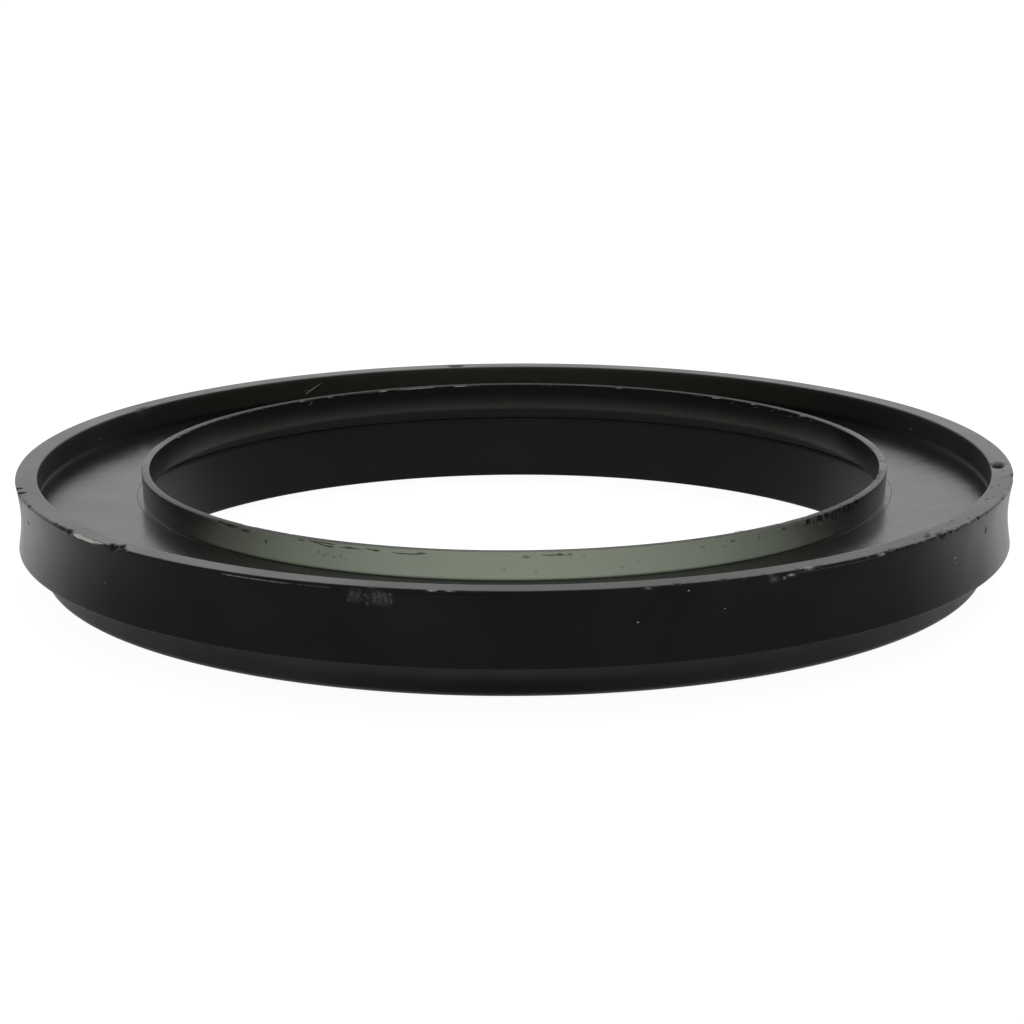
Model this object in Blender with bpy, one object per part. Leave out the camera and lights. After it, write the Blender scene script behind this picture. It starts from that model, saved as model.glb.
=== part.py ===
"""Toilet flange seal: five turned rings on one upright axis, in metres, +Z up.

The origin is the centre of the flat underside that the ring stands on.
"""

import math

import bmesh
import bpy

# Overall ring
OUTER_RADIUS = 0.0750
RIM_HEIGHT = 0.0166
SEGMENTS = 96
JOINT_GAP = 0.0003
EDGE_ROUND = 0.00025

# Outer shell: rim, waisted wall and channel floor
RIM_WIDTH = 0.0033
WALL_WAIST = 0.00055
WALL_SPANS = 4
WALL_FOOT_RADIUS = 0.0748
WALL_FOOT_HEIGHT = 0.0060
WALL_FOOT_ROUND = 0.0005
CHANNEL_FLOOR_HEIGHT = 0.0127
CHANNEL_FILLET = 0.0007
FLOOR_INNER_RADIUS = 0.0573
POCKET_OUTER_RADIUS = 0.0696
POCKET_CEILING_HEIGHT = 0.0084

# Lip collar: thin upright lip, undercut throat and the root flange that holds it
LIP_HEIGHT = 0.01685
LIP_OUTER_RADIUS = 0.0563
LIP_THICKNESS = 0.0012
LIP_LEAN = 0.0002
LIP_FILLET = 0.0006
THROAT_RADIUS = 0.0550
ROOT_HEIGHT = 0.0102
ROOT_FLANGE_THICKNESS = 0.0011
ROOT_FLANGE_RADIUS = 0.0613
ROOT_LAND = 0.0003

# Bore sleeve: the wide bore below the throat
BORE_RADIUS = 0.0592
SLEEVE_OUTER_RADIUS = 0.0626
BORE_CHAMFER = 0.0006

# Foot seal: the rounded step under the wall
FOOT_OUTER_RADIUS = 0.07125
FOOT_DRAFT = 0.0002
FOOT_SIDE_BOTTOM = 0.0022
FOOT_FLAT_RADIUS = 0.0640
FOOT_ROUND_STEPS = 5

# Stiffening ring: flat steel, shut in the pocket over the foot seal
STIFFENER_CHAMFER = 0.0002


def clear_scene():
    for old in list(bpy.data.objects):
        bpy.data.objects.remove(old, do_unlink=True)


def make_material(name, colour, roughness, metallic):
    material = bpy.data.materials.new(name)
    material.use_nodes = True
    shader = material.node_tree.nodes["Principled BSDF"]
    shader.inputs["Base Color"].default_value = (*colour, 1.0)
    shader.inputs["Roughness"].default_value = roughness
    shader.inputs["Metallic"].default_value = metallic
    material.diffuse_color = (*colour, 1.0)
    return material


def arc(centre, size, start, end, steps):
    """Points on an upright ellipse arc; size is its two radii, angles are in degrees from +X."""
    points = []
    for step in range(steps + 1):
        angle = math.radians(start + (end - start) * step / steps)
        points.append((centre[0] + size[0] * math.cos(angle), centre[1] + size[1] * math.sin(angle)))
    return points


def turned_ring(name, profile, material):
    """A ring of one closed (radius, height) outline, which runs down its outer side first."""
    mesh = bpy.data.meshes.new(name)
    outline = bmesh.new()
    corners = [outline.verts.new((radius, 0.0, height)) for radius, height in profile]
    for here, corner in enumerate(corners):
        outline.edges.new((corner, corners[(here + 1) % len(corners)]))
    outline.to_mesh(mesh)
    outline.free()

    ring = bpy.data.objects.new(name, mesh)
    bpy.context.scene.collection.objects.link(ring)
    mesh.materials.append(material)
    screw = ring.modifiers.new("Turn", "SCREW")
    screw.axis = "Z"
    screw.steps = SEGMENTS
    screw.render_steps = SEGMENTS
    screw.use_smooth_shade = True
    screw.use_merge_vertices = True
    screw.merge_threshold = 0.00001
    return ring


def waisted_wall():
    """The outer wall below the rim's edge: drawn in half way down, a little narrower at its foot."""
    top = RIM_HEIGHT - EDGE_ROUND
    bottom = WALL_FOOT_HEIGHT + WALL_FOOT_ROUND
    points = []
    for span in range(WALL_SPANS + 1):
        share = span / WALL_SPANS
        straight = OUTER_RADIUS + (WALL_FOOT_RADIUS - OUTER_RADIUS) * share
        radius = straight - WALL_WAIST * math.sin(math.pi * share)
        points.append((radius, top + (bottom - top) * share))
    return points


def throat_radius_at(height):
    """Radius of the undercut cone between the lip's inner edge and the bore."""
    share = (CHANNEL_FLOOR_HEIGHT - height) / (CHANNEL_FLOOR_HEIGHT - ROOT_HEIGHT)
    return THROAT_RADIUS + (BORE_RADIUS - THROAT_RADIUS) * share


def make_outer_shell():
    rubber = make_material("outer_shell_rubber", (0.012, 0.012, 0.013), 0.42, 0.0)
    rim_inner = OUTER_RADIUS - RIM_WIDTH
    pocket_inner = SLEEVE_OUTER_RADIUS + JOINT_GAP
    seat_radius = ROOT_FLANGE_RADIUS + JOINT_GAP
    seat_height = ROOT_HEIGHT + ROOT_FLANGE_THICKNESS + JOINT_GAP
    cone_run = (BORE_RADIUS - THROAT_RADIUS) / (CHANNEL_FLOOR_HEIGHT - ROOT_HEIGHT)
    cone_top = CHANNEL_FLOOR_HEIGHT - ROOT_LAND / 2
    profile = [(OUTER_RADIUS - EDGE_ROUND, RIM_HEIGHT)]
    profile += waisted_wall()
    profile += arc(
        (WALL_FOOT_RADIUS - WALL_FOOT_ROUND, WALL_FOOT_HEIGHT + WALL_FOOT_ROUND),
        (WALL_FOOT_ROUND, WALL_FOOT_ROUND),
        0,
        -90,
        2,
    )[1:]
    profile += [
        (POCKET_OUTER_RADIUS, WALL_FOOT_HEIGHT),
        (POCKET_OUTER_RADIUS, POCKET_CEILING_HEIGHT),
        (pocket_inner, POCKET_CEILING_HEIGHT),
        (pocket_inner, ROOT_HEIGHT),
        (seat_radius, ROOT_HEIGHT),
        (seat_radius, seat_height),
        (FLOOR_INNER_RADIUS + cone_run * (cone_top - seat_height), seat_height),
        (FLOOR_INNER_RADIUS, cone_top),
        (FLOOR_INNER_RADIUS, CHANNEL_FLOOR_HEIGHT),
    ]
    profile += arc(
        (rim_inner - CHANNEL_FILLET, CHANNEL_FLOOR_HEIGHT + CHANNEL_FILLET),
        (CHANNEL_FILLET, CHANNEL_FILLET),
        -90,
        0,
        2,
    )
    profile += [
        (rim_inner, RIM_HEIGHT - EDGE_ROUND),
        (rim_inner + EDGE_ROUND, RIM_HEIGHT),
    ]
    return turned_ring("outer_shell", profile, rubber)


def make_lip_collar():
    rubber = make_material("lip_collar_rubber", (0.030, 0.036, 0.028), 0.38, 0.0)
    foot_radius = LIP_OUTER_RADIUS - LIP_LEAN
    joint_radius = FLOOR_INNER_RADIUS - JOINT_GAP
    land_height = CHANNEL_FLOOR_HEIGHT - ROOT_LAND
    flange_height = ROOT_HEIGHT + ROOT_FLANGE_THICKNESS
    neck_radius = joint_radius + throat_radius_at(flange_height) - throat_radius_at(land_height)
    lip_inner = LIP_OUTER_RADIUS - LIP_THICKNESS
    profile = [
        (LIP_OUTER_RADIUS - EDGE_ROUND, LIP_HEIGHT),
        (LIP_OUTER_RADIUS, LIP_HEIGHT - EDGE_ROUND),
    ]
    profile += arc(
        (foot_radius + LIP_FILLET, CHANNEL_FLOOR_HEIGHT + LIP_FILLET),
        (LIP_FILLET, LIP_FILLET),
        180,
        270,
        2,
    )
    profile += [
        (joint_radius, CHANNEL_FLOOR_HEIGHT),
        (joint_radius, land_height),
        (neck_radius, flange_height),
        (ROOT_FLANGE_RADIUS, flange_height),
        (ROOT_FLANGE_RADIUS, ROOT_HEIGHT),
        (BORE_RADIUS, ROOT_HEIGHT),
        (THROAT_RADIUS, CHANNEL_FLOOR_HEIGHT),
        (lip_inner, LIP_HEIGHT - EDGE_ROUND),
        (lip_inner + EDGE_ROUND, LIP_HEIGHT),
    ]
    return turned_ring("lip_collar", profile, rubber)


def make_bore_sleeve():
    rubber = make_material("bore_sleeve_rubber", (0.010, 0.011, 0.010), 0.45, 0.0)
    top = ROOT_HEIGHT - JOINT_GAP
    profile = [
        (SLEEVE_OUTER_RADIUS, top),
        (SLEEVE_OUTER_RADIUS, EDGE_ROUND),
        (SLEEVE_OUTER_RADIUS - EDGE_ROUND, 0.0),
        (BORE_RADIUS + BORE_CHAMFER, 0.0),
        (BORE_RADIUS, BORE_CHAMFER),
        (BORE_RADIUS, top),
    ]
    return turned_ring("bore_sleeve", profile, rubber)


def make_foot_seal():
    rubber = make_material("foot_seal_rubber", (0.016, 0.016, 0.017), 0.52, 0.0)
    inner = SLEEVE_OUTER_RADIUS + JOINT_GAP
    top = WALL_FOOT_HEIGHT - JOINT_GAP
    side_bottom_radius = FOOT_OUTER_RADIUS - FOOT_DRAFT
    profile = [(FOOT_OUTER_RADIUS, top)]
    profile += arc(
        (FOOT_FLAT_RADIUS, FOOT_SIDE_BOTTOM),
        (side_bottom_radius - FOOT_FLAT_RADIUS, FOOT_SIDE_BOTTOM),
        0,
        -90,
        FOOT_ROUND_STEPS,
    )
    profile += [
        (inner + EDGE_ROUND, 0.0),
        (inner, EDGE_ROUND),
        (inner, top),
    ]
    return turned_ring("foot_seal", profile, rubber)


def make_stiffening_ring():
    steel = make_material("stiffening_ring_steel", (0.46, 0.47, 0.48), 0.36, 1.0)
    inner = SLEEVE_OUTER_RADIUS + 2 * JOINT_GAP
    outer = POCKET_OUTER_RADIUS - JOINT_GAP
    top = POCKET_CEILING_HEIGHT - JOINT_GAP
    bottom = WALL_FOOT_HEIGHT
    profile = [
        (outer - STIFFENER_CHAMFER, top),
        (outer, top - STIFFENER_CHAMFER),
        (outer, bottom + STIFFENER_CHAMFER),
        (outer - STIFFENER_CHAMFER, bottom),
        (inner + STIFFENER_CHAMFER, bottom),
        (inner, bottom + STIFFENER_CHAMFER),
        (inner, top - STIFFENER_CHAMFER),
        (inner + STIFFENER_CHAMFER, top),
    ]
    return turned_ring("stiffening_ring", profile, steel)


clear_scene()
flange_axis = bpy.data.objects.new("flange_axis", None)
bpy.context.scene.collection.objects.link(flange_axis)
for make_piece in (
    make_outer_shell,
    make_lip_collar,
    make_bore_sleeve,
    make_foot_seal,
    make_stiffening_ring,
):
    make_piece().parent = flange_axis
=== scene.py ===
import math

import bpy
import numpy as np
from mathutils import Matrix, Vector


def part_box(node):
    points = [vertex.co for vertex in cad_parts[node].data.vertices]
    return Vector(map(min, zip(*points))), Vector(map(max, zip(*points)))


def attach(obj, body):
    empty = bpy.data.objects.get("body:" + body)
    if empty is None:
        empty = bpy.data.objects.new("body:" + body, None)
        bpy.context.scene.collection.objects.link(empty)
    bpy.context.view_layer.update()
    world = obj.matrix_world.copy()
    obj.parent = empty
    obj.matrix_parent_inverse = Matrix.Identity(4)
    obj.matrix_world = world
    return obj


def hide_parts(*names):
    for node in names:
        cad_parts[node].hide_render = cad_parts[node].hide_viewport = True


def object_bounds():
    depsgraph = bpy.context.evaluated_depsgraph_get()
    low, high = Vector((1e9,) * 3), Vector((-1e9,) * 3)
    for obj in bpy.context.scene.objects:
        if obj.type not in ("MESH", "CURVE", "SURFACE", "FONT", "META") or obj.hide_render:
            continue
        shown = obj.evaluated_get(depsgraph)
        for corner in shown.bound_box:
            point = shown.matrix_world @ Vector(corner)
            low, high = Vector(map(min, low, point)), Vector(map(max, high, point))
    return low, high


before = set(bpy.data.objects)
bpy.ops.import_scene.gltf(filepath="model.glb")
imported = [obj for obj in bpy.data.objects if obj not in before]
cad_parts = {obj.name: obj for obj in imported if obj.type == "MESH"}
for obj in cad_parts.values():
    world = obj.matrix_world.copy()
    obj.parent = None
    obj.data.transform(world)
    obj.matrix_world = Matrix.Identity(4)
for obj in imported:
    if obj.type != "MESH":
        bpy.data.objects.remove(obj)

cadBox = [list(corner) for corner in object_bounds()]
print("frame loaded:", ", ".join(sorted(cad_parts)))

mm = 0.001  # piece dictionaries are in millimetres, azimuths in degrees: 0 is the front, 90 the right
outerLimit = cadBox[1][0] / mm  # marks and threads stay inside the overall CAD size
topLimit = cadBox[1][2] / mm
creaseAngle = 40  # edges sharper than this stay crisp


def nodeSize(node):
    # outer radius, lowest and highest point of a CAD node, in millimetres
    low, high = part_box(node)
    return {"radius": high.x / mm, "bottom": low.z / mm, "top": high.z / mm}


# outlines: a turned piece is one closed (radius, height) line that runs down its outer side first

def straight(start, end, spacing):
    steps = max(1, round(math.dist(start, end) / spacing))
    points = []
    for i in range(steps):
        share = i / steps
        points.append((start[0] + (end[0] - start[0]) * share, start[1] + (end[1] - start[1]) * share))
    return points


def rounded(centre, size, fromAngle, toAngle, steps):
    points = []
    for i in range(steps + 1):
        angle = math.radians(fromAngle + (toAngle - fromAngle) * i / steps)
        points.append((centre[0] + size * math.cos(angle), centre[1] + size * math.sin(angle)))
    return points


def columnAngles(coarse, fineSpans=()):
    # azimuths of the columns of points; a fine span is (from, to, step)
    angles = list(np.arange(-180, 180, coarse))
    for low, high, step in fineSpans:
        angles = [a for a in angles if not low - step / 2 < a < high + step / 2]
        angles += list(np.arange(low, high, step))
    return np.array(sorted(angles))


def wander(angles, radius, grain, seed):
    # smooth random values from 0 to 1 round the ring, one draw for every grain of its length
    draws = np.random.default_rng(seed).random(int(2 * math.pi * radius / grain) + 3)
    place = (angles + 180) / 360 * (len(draws) - 2)
    index = place.astype(int)
    share = place - index
    share = share * share * (3 - 2 * share)
    return draws[index] * (1 - share) + draws[index + 1] * share


def angleGap(angles, middle):
    return (angles - middle + 180) % 360 - 180


def acrossFrom(spot, outline, along, total):
    # distance along the outline from its point nearest to spot
    nearest = along[np.argmin(np.hypot(outline[:, 0] - spot[0], outline[:, 1] - spot[1]))]
    return (along - nearest + total / 2) % total - total / 2


def surfaceMark(at, spot, long, wide, **finish):
    # finish may give lift, pale, dark, turn and hard
    return {"at": at, "spot": spot, "long": long, "wide": wide, **finish}


def markShape(mark, angles, outline, along, total):
    # a soft oval on the surface: long runs round the ring, wide runs across it, turn tilts it
    onward = np.radians(angleGap(angles, mark["at"]))[:, None] * outline[None, :, 0]
    across = acrossFrom(mark["spot"], outline, along, total)
    across = np.broadcast_to(across[None, :], onward.shape)
    tilt = math.radians(mark.get("turn", 0))
    lengthwise = onward * math.cos(tilt) + across * math.sin(tilt)
    crosswise = across * math.cos(tilt) - onward * math.sin(tilt)
    distance = (lengthwise / mark["long"]) ** 2 + (crosswise / mark["wide"]) ** 2
    return np.exp(-distance ** mark.get("hard", 1))


tearShape = {"coarse": 0.65, "fine": 0.35, "finer": 3, "curve": 0.7, "fade": 2}


def tearsFrom(rows):
    # a row is from, to, edge, grain, share, reach, lift, pale, dark, seed
    tears = []
    for start, end, edge, grain, share, reach, lift, pale, dark, seed in rows:
        tear = {"from": start, "to": end, "spot": edge, "grain": grain, "share": share, "reach": reach}
        tears.append({**tear, "lift": lift, "pale": pale, "dark": dark, "seed": seed})
    return tears


def raggedShape(run, angles, outline, along, total):
    # a torn edge: it bites where the wandering line is highest, and fades at both ends
    middle = (run["from"] + run["to"]) / 2
    half = (run["to"] - run["from"]) / 2
    ends = np.clip((half - np.abs(angleGap(angles, middle))) / tearShape["fade"], 0, 1)
    coarse = wander(angles, run["spot"][0], run["grain"], run["seed"])
    fine = wander(angles, run["spot"][0], run["grain"] / tearShape["finer"], run["seed"] + 1)
    level = tearShape["coarse"] * coarse + tearShape["fine"] * fine
    bite = np.clip((level - 1 + run["share"]) / run["share"], 0, 1) ** tearShape["curve"]
    across = acrossFrom(run["spot"], outline, along, total)
    return (ends * bite)[:, None] * np.exp(-((across / run["reach"]) ** 2))[None, :]


def threadMesh(thread, sides=6, blunt=0.35):
    # a fine raised thread, flake or speck; its path is (azimuth, radius, height) points
    askew = [0.31, 0.27, 0.91]  # a direction that no thread runs along
    angle, radius, height = np.array(thread["path"], float).T
    turn = np.radians(angle)
    spine = np.stack([radius * np.sin(turn), -radius * np.cos(turn), height], -1)
    ahead = np.gradient(spine, axis=0)
    ahead /= np.linalg.norm(ahead, axis=1)[:, None]
    side = np.cross(ahead, askew)
    side /= np.linalg.norm(side, axis=1)[:, None]
    up = np.cross(side, ahead)
    ends = np.minimum(np.arange(len(spine)), np.arange(len(spine))[::-1])
    thick = thread["thick"] * np.where(ends == 0, thread.get("tip", blunt), 1)
    around = np.arange(sides) * 2 * math.pi / sides
    rings = spine[:, None] + thick[:, None, None] * (
        np.cos(around)[None, :, None] * side[:, None] + np.sin(around)[None, :, None] * up[:, None]
    )
    faces = []
    for i in range(len(spine) - 1):
        for j in range(sides):
            k = (j + 1) % sides
            faces.append([i * sides + j, i * sides + k, (i + 1) * sides + k, (i + 1) * sides + j])
    faces.append(list(range(sides))[::-1])
    faces.append([(len(spine) - 1) * sides + j for j in range(sides)])
    points = rings.reshape(-1, 3)
    points[:, :2] *= np.minimum(1, outerLimit / np.hypot(points[:, 0], points[:, 1]))[:, None]
    points[:, 2] = np.clip(points[:, 2], 0, topLimit)
    return points, faces


def newPiece(name, corners, faces, masks):
    mesh = bpy.data.meshes.new(name)
    mesh.from_pydata(corners, [], faces)
    for maskName, values in masks.items():
        layer = mesh.attributes.new(maskName, "FLOAT", "POINT")
        layer.data.foreach_set("value", np.array(values, np.float32))
    mesh.shade_smooth()
    mesh.set_sharp_from_angle(angle=math.radians(creaseAngle))
    piece = bpy.data.objects.new(name, mesh)
    bpy.context.scene.collection.objects.link(piece)
    return piece


def turnPiece(name, outline, angles, marks=(), tears=(), shade=None, threads=()):
    # one row of points for every azimuth; marks and tears move points along the outward direction
    outline = np.array(outline)
    ahead = np.roll(outline, -1, 0)
    behind = np.roll(outline, 1, 0)
    lengths = np.hypot(*(ahead - outline).T)
    along = np.concatenate([[0], np.cumsum(lengths)[:-1]])
    total = lengths.sum()
    tangent = ahead - behind
    tangent /= np.hypot(tangent[:, 0], tangent[:, 1])[:, None]
    outward = np.stack([-tangent[:, 1], tangent[:, 0]], 1)

    lift = np.zeros((len(angles), len(outline)))
    pale = np.zeros_like(lift)
    dark = np.zeros_like(lift)
    for group, shapeOf in ((marks, markShape), (tears, raggedShape)):
        for mark in group:
            shape = shapeOf(mark, angles, outline, along, total)
            lift += mark.get("lift", 0) * shape
            pale = np.maximum(pale, mark.get("pale", 0) * shape)
            dark = np.maximum(dark, mark.get("dark", 0) * shape)

    radius = np.minimum(outline[None, :, 0] + lift * outward[None, :, 0], outerLimit)
    height = np.clip(outline[None, :, 1] + lift * outward[None, :, 1], 0, topLimit)
    turn = np.radians(angles)[:, None]
    points = np.stack([radius * np.sin(turn), -radius * np.cos(turn), height], -1) * mm

    rows, count = len(angles), len(outline)
    here = np.arange(rows)[:, None] * count
    there = (np.arange(rows)[:, None] + 1) % rows * count
    this = np.arange(count)[None, :]
    following = (this + 1) % count
    quads = np.stack([here + this, here + following, there + following, there + this], -1)

    masks = {"pale": pale, "dark": dark}
    for maskName, values in (shade or {}).items():
        masks[maskName] = np.maximum(masks.get(maskName, 0), np.broadcast_to(values, lift.shape))
    masks = {maskName: list(values.ravel()) for maskName, values in masks.items()}
    corners = points.reshape(-1, 3).tolist()
    faces = quads.reshape(-1, 4).tolist()
    for thread in threads:
        threadPoints, threadFaces = threadMesh(thread)
        faces += [[len(corners) + i for i in face] for face in threadFaces]
        corners += (threadPoints * mm).tolist()
        for maskName, values in masks.items():
            values += [thread.get(maskName, 0.0)] * len(threadPoints)
    return newPiece(name, corners, faces, masks)


# finishes: procedural rubber and steel

def addNode(tree, kind, **values):
    node = tree.nodes.new(kind)
    for socket, value in values.items():
        node.inputs[socket].default_value = value
    return node


def join(tree, source, target):
    tree.links.new(source, target)


def noiseAt(tree, place, size, detail, stretch=(1, 1, 1)):
    # noise whose features are about size millimetres across
    scaled = addNode(tree, "ShaderNodeMapping")
    scaled.inputs["Scale"].default_value = [s / (size * mm) for s in stretch]
    join(tree, place, scaled.inputs["Vector"])
    noise = addNode(tree, "ShaderNodeTexNoise", Scale=1.0, Detail=detail)
    join(tree, scaled.outputs["Vector"], noise.inputs["Vector"])
    return noise.outputs[0]


def remap(tree, source, fromLow, fromHigh, toLow, toHigh):
    node = tree.nodes.new("ShaderNodeMapRange")
    node.inputs["From Min"].default_value = fromLow
    node.inputs["From Max"].default_value = fromHigh
    node.inputs["To Min"].default_value = toLow
    node.inputs["To Max"].default_value = toHigh
    join(tree, source, node.inputs["Value"])
    return node.outputs["Result"]


def arithmetic(tree, operation, first, second):
    node = tree.nodes.new("ShaderNodeMath")
    node.operation = operation
    for socket, value in zip(node.inputs, (first, second)):
        if isinstance(value, (int, float)):
            socket.default_value = value
        else:
            join(tree, value, socket)
    return node.outputs[0]


def mixColours(tree, share, first, second):
    node = tree.nodes.new("ShaderNodeMix")
    node.data_type = "RGBA"
    join(tree, share, node.inputs[0])
    for socket, value in zip(node.inputs[6:8], (first, second)):
        if isinstance(value, tuple):
            socket.default_value = (*value, 1)
        else:
            join(tree, value, socket)
    return node.outputs[2]


def maskNode(tree, name):
    node = tree.nodes.new("ShaderNodeAttribute")
    node.attribute_name = name
    return node.outputs["Fac"]


def bumpNode(tree, height, depth, under=None):
    # depth is in millimetres
    node = addNode(tree, "ShaderNodeBump", Strength=1.0, Distance=depth * mm)
    join(tree, height, node.inputs["Height"])
    if under:
        join(tree, under, node.inputs["Normal"])
    return node.outputs["Normal"]


# what every rubber finish shares: sizes in millimetres, ranges of the noise, added roughness
rubber = {
    "cloudRange": (0.35, 0.7),
    "smearRange": (0.3, 0.72),
    "smearStretch": (1, 1, 0.35),
    "streak": 0.32,
    "streakRange": (0.42, 0.56),
    "streakLeast": 0.35,
    "rubbedRoughness": 0.3,
    "pitRoughness": 0.6,
    "brush": 0.7,
    "brushStretch": (0.12, 1, 1),
    "indexOfRefraction": 1.5,
}


def rubberFinish(name, look):
    material = bpy.data.materials.new(name)
    material.use_nodes = True
    tree = material.node_tree
    shader = tree.nodes["Principled BSDF"]
    place = tree.nodes.new("ShaderNodeTexCoord").outputs["Object"]

    mottle = noiseAt(tree, place, look["mottle"], 4.0)
    smear = noiseAt(tree, place, look["smear"], 3.0, rubber["smearStretch"])
    grain = noiseAt(tree, place, look["grain"], 2.0)
    streak = noiseAt(tree, place, rubber["streak"], 3.0, rubber["smearStretch"])

    clouded = remap(tree, mottle, *rubber["cloudRange"], 0, 1)
    colour = mixColours(tree, clouded, look["colour"], look["cloud"])
    # this mask lays on painted light and shade: painted light on the channel's far wall and on the
    # throat, painted shadow on the foot's rounding
    if "paintedShadingColour" in look:
        colour = mixColours(tree, maskNode(tree, "inner"), colour, look["paintedShadingColour"])
    # this mask lays the painted glow of backlight on the lip, strongest at the front
    if "paintedGlowColour" in look:
        colour = mixColours(tree, maskNode(tree, "thin"), colour, look["paintedGlowColour"])
    colour = mixColours(tree, maskNode(tree, "dark"), colour, look["pit"])
    streaked = remap(tree, streak, *rubber["streakRange"], rubber["streakLeast"], 1)
    rubbed = arithmetic(tree, "MULTIPLY", maskNode(tree, "pale"), streaked)
    colour = mixColours(tree, rubbed, colour, look["scuff"])
    join(tree, colour, shader.inputs["Base Color"])

    roughness = remap(tree, smear, *rubber["smearRange"], *look["roughness"])
    if "floorShine" in look:
        shine = remap(tree, maskNode(tree, "flat"), 0, 1, 1, look["floorShine"])
        roughness = arithmetic(tree, "MULTIPLY", roughness, shine)
    pitted = maskNode(tree, "dark")
    for wear, added in ((rubbed, rubber["rubbedRoughness"]), (pitted, rubber["pitRoughness"])):
        roughness = arithmetic(tree, "ADD", roughness, arithmetic(tree, "MULTIPLY", wear, added))
    join(tree, roughness, shader.inputs["Roughness"])

    normal = bumpNode(tree, smear, look["waveDepth"])
    normal = bumpNode(tree, grain, look["grainDepth"], normal)
    if "floorShine" in look:
        brushed = noiseAt(tree, place, rubber["brush"], 3.0, rubber["brushStretch"])
        brushed = arithmetic(tree, "MULTIPLY", brushed, maskNode(tree, "flat"))
        normal = bumpNode(tree, brushed, look["brushDepth"], normal)
    join(tree, normal, shader.inputs["Normal"])
    shader.inputs["IOR"].default_value = look.get("indexOfRefraction", rubber["indexOfRefraction"])
    if "glow" in look:
        clear = arithmetic(tree, "MULTIPLY", maskNode(tree, "clear"), look["glow"])
        join(tree, clear, shader.inputs["Transmission Weight"])
    return material


def dress(piece, material, node):
    piece.data.materials.clear()
    piece.data.materials.append(material)
    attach(piece, "root")
    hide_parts(node)


shellSize = nodeSize("outer_shell")
lipSize = nodeSize("lip_collar")
sleeveSize = nodeSize("bore_sleeve")
footSize = nodeSize("foot_seal")
steelSize = nodeSize("stiffening_ring")


# outer shell: rim, waisted wall and channel floor

outerShell = {
    "rimWidth": 3.3,
    "edgeRound": 0.25,
    "wallWaist": 0.55,
    "wallFootRadius": 74.8,
    "wallFootRound": 0.16,
    "floorHeight": 12.7,
    "floorInner": 57.05,
    "floorLand": 0.15,
    "channelChamfer": 0.02,
    "pocketCeiling": 8.4,
    "seatDepth": 1.4,  # seat for the lip collar's root, under the floor
    "seatInner": 59.0,
    "throatTop": (0.45, 0.3),  # out and down from the floor's inner edge
    "gap": 0.3,  # between hidden faces of neighbouring pieces
    "markedDepth": 3.7,  # the wall has closer points down to here
    "plainDepth": 4.4,
    "markedSpacing": 0.3,
    "wallSpacing": 0.9,
    "floorSpacing": 2.0,
    "channelWallSpacing": 0.7,
    "columns": 0.75,
    "fineColumns": (
        (-79, -57, 0.15),
        (-57, -42, 0.08),
        (-42, -18, 0.2),
        (-18, -11, 0.08),
        (-11, 9, 0.2),
        (9, 66, 0.15),
        (66, 89, 0.16),
    ),
    "rimFlecks": 44,
    "rubbedStrokes": 64,
    "wallLightFrom": 100,  # azimuths between which the painted light on the channel's wall grows
    "wallLightFull": 170,
    "wallLightLeast": 0.08,
    "dullWall": 0.6,
    "dullUntil": 135,
    "dullFade": 35,
    "wornRim": 0.2,
    "wornAt": 10,
    "wornSpread": 40,
    "look": {
        "colour": (0.0052, 0.0052, 0.0056),
        "cloud": (0.0086, 0.0090, 0.0080),
        # pale greenish colour for the painted light on the channel's far wall
        "paintedShadingColour": (0.115, 0.128, 0.095),
        "pit": (0.003, 0.003, 0.003),
        "scuff": (0.62, 0.62, 0.58),
        "mottle": 9.0,
        "smear": 14.0,
        "grain": 0.30,
        "roughness": (0.26, 0.34),
        "indexOfRefraction": 1.45,
        "floorShine": 0.7,
        "waveDepth": 0.12,
        "grainDepth": 0.009,
        "brushDepth": 0.022,
    },
}


def shellOutline(size):
    part = outerShell
    edge = part["edgeRound"]
    outer = size["radius"]
    top = size["top"]
    rimInner = outer - part["rimWidth"]
    floor = part["floorHeight"]
    footRound = part["wallFootRound"]
    wallTop = top - edge
    wallBottom = size["bottom"] + footRound
    pocketOuter = steelSize["radius"] + part["gap"]
    pocketInner = sleeveSize["radius"] + part["gap"]
    seatRadius = lipSize["radius"] + part["gap"]
    seatHeight = lipSize["bottom"] + part["seatDepth"]
    throatOut, throatDown = part["throatTop"]
    fine = part["markedSpacing"]

    points = rounded((outer - edge, wallTop), edge, 90, 0, 4)
    heights = list(np.arange(wallTop - fine, wallTop - part["markedDepth"], -fine))
    heights += list(np.arange(wallTop - part["plainDepth"], wallBottom + 0.2, -part["wallSpacing"]))
    for height in heights:
        share = (wallTop - height) / (wallTop - wallBottom)
        radius = outer + (part["wallFootRadius"] - outer) * share
        points.append((radius - part["wallWaist"] * math.sin(math.pi * share), float(height)))
    points += rounded((part["wallFootRadius"] - footRound, wallBottom), footRound, 0, -90, 4)
    points += [
        (pocketOuter, size["bottom"]),
        (pocketOuter, part["pocketCeiling"]),
        (pocketInner, part["pocketCeiling"]),
        (pocketInner, lipSize["bottom"]),
        (seatRadius, lipSize["bottom"]),
        (seatRadius, seatHeight),
        (part["seatInner"], seatHeight),
        (part["floorInner"] + throatOut, floor - throatDown),
        (part["floorInner"], floor - part["floorLand"]),
    ]
    chamfer = part["channelChamfer"]
    points += straight((part["floorInner"], floor), (rimInner - chamfer, floor), part["floorSpacing"])
    points.append((rimInner - chamfer, floor))
    points += straight((rimInner, floor + chamfer), (rimInner, wallTop), part["channelWallSpacing"])
    points += rounded((rimInner + edge, wallTop), edge, 180, 90, 3)
    points += straight((rimInner + edge + fine, top), (outer - edge, top), fine)
    return points


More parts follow.
